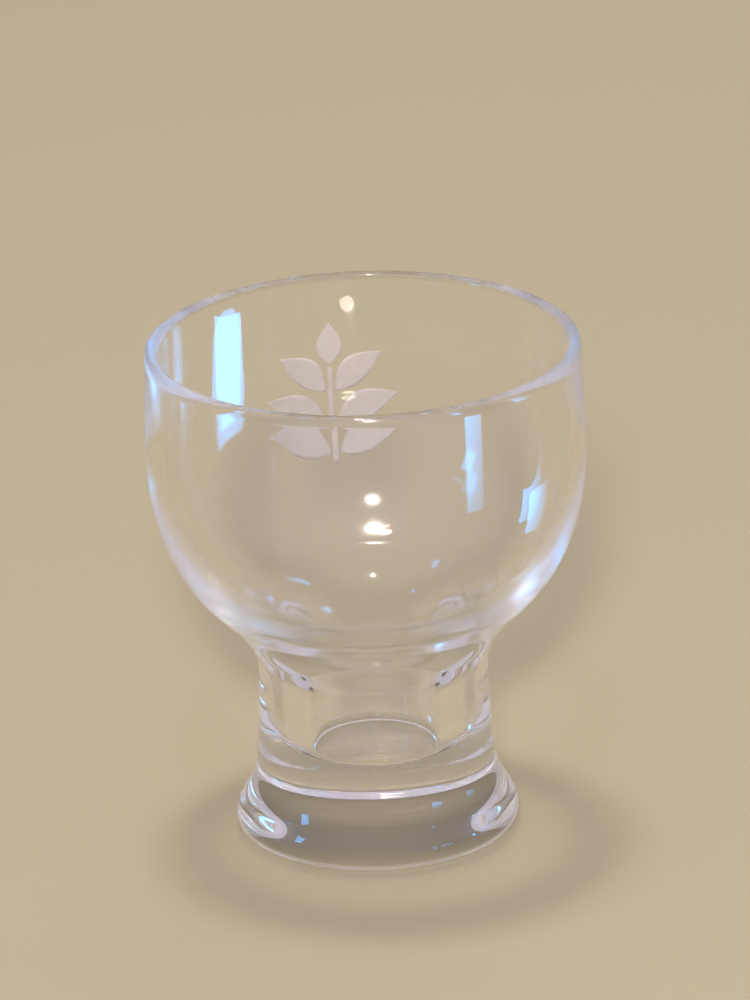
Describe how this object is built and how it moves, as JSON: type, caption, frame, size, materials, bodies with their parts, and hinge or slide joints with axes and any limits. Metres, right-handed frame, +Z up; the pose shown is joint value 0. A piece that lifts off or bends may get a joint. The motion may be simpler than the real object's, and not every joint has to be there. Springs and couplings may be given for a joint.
{
  "type": "shot glass",
  "caption": "Footed shot glass with a rounded bowl, a thick-walled hollow waist and a heavy flared foot, with a frosted leaf sprig on the wall of the bowl.",
  "frame": {"origin": "centre of the plane that the foot stands on", "axes": "+Z up along the axis of the glass, from the foot to the rim; the frosted sprig is on the +Y side, a little towards -X"},
  "size_m": [0.0578, 0.058, 0.068],
  "materials": {
    "clear_glass": "fire-polished, clear and colourless",
    "frosted_layer": "matt frosted white"
  },
  "bodies": {
    "root": {"bowl": "clear_glass", "waist": "clear_glass", "foot": "clear_glass", "frost_stalk": "frosted_layer", "frost_leaf_right_1": "frosted_layer", "frost_leaf_left_1": "frosted_layer", "frost_leaf_right_2": "frosted_layer", "frost_leaf_left_2": "frosted_layer", "frost_leaf_right_3": "frosted_layer", "frost_leaf_left_3": "frosted_layer", "frost_leaf_top": "frosted_layer"}
  },
  "joints": []
}
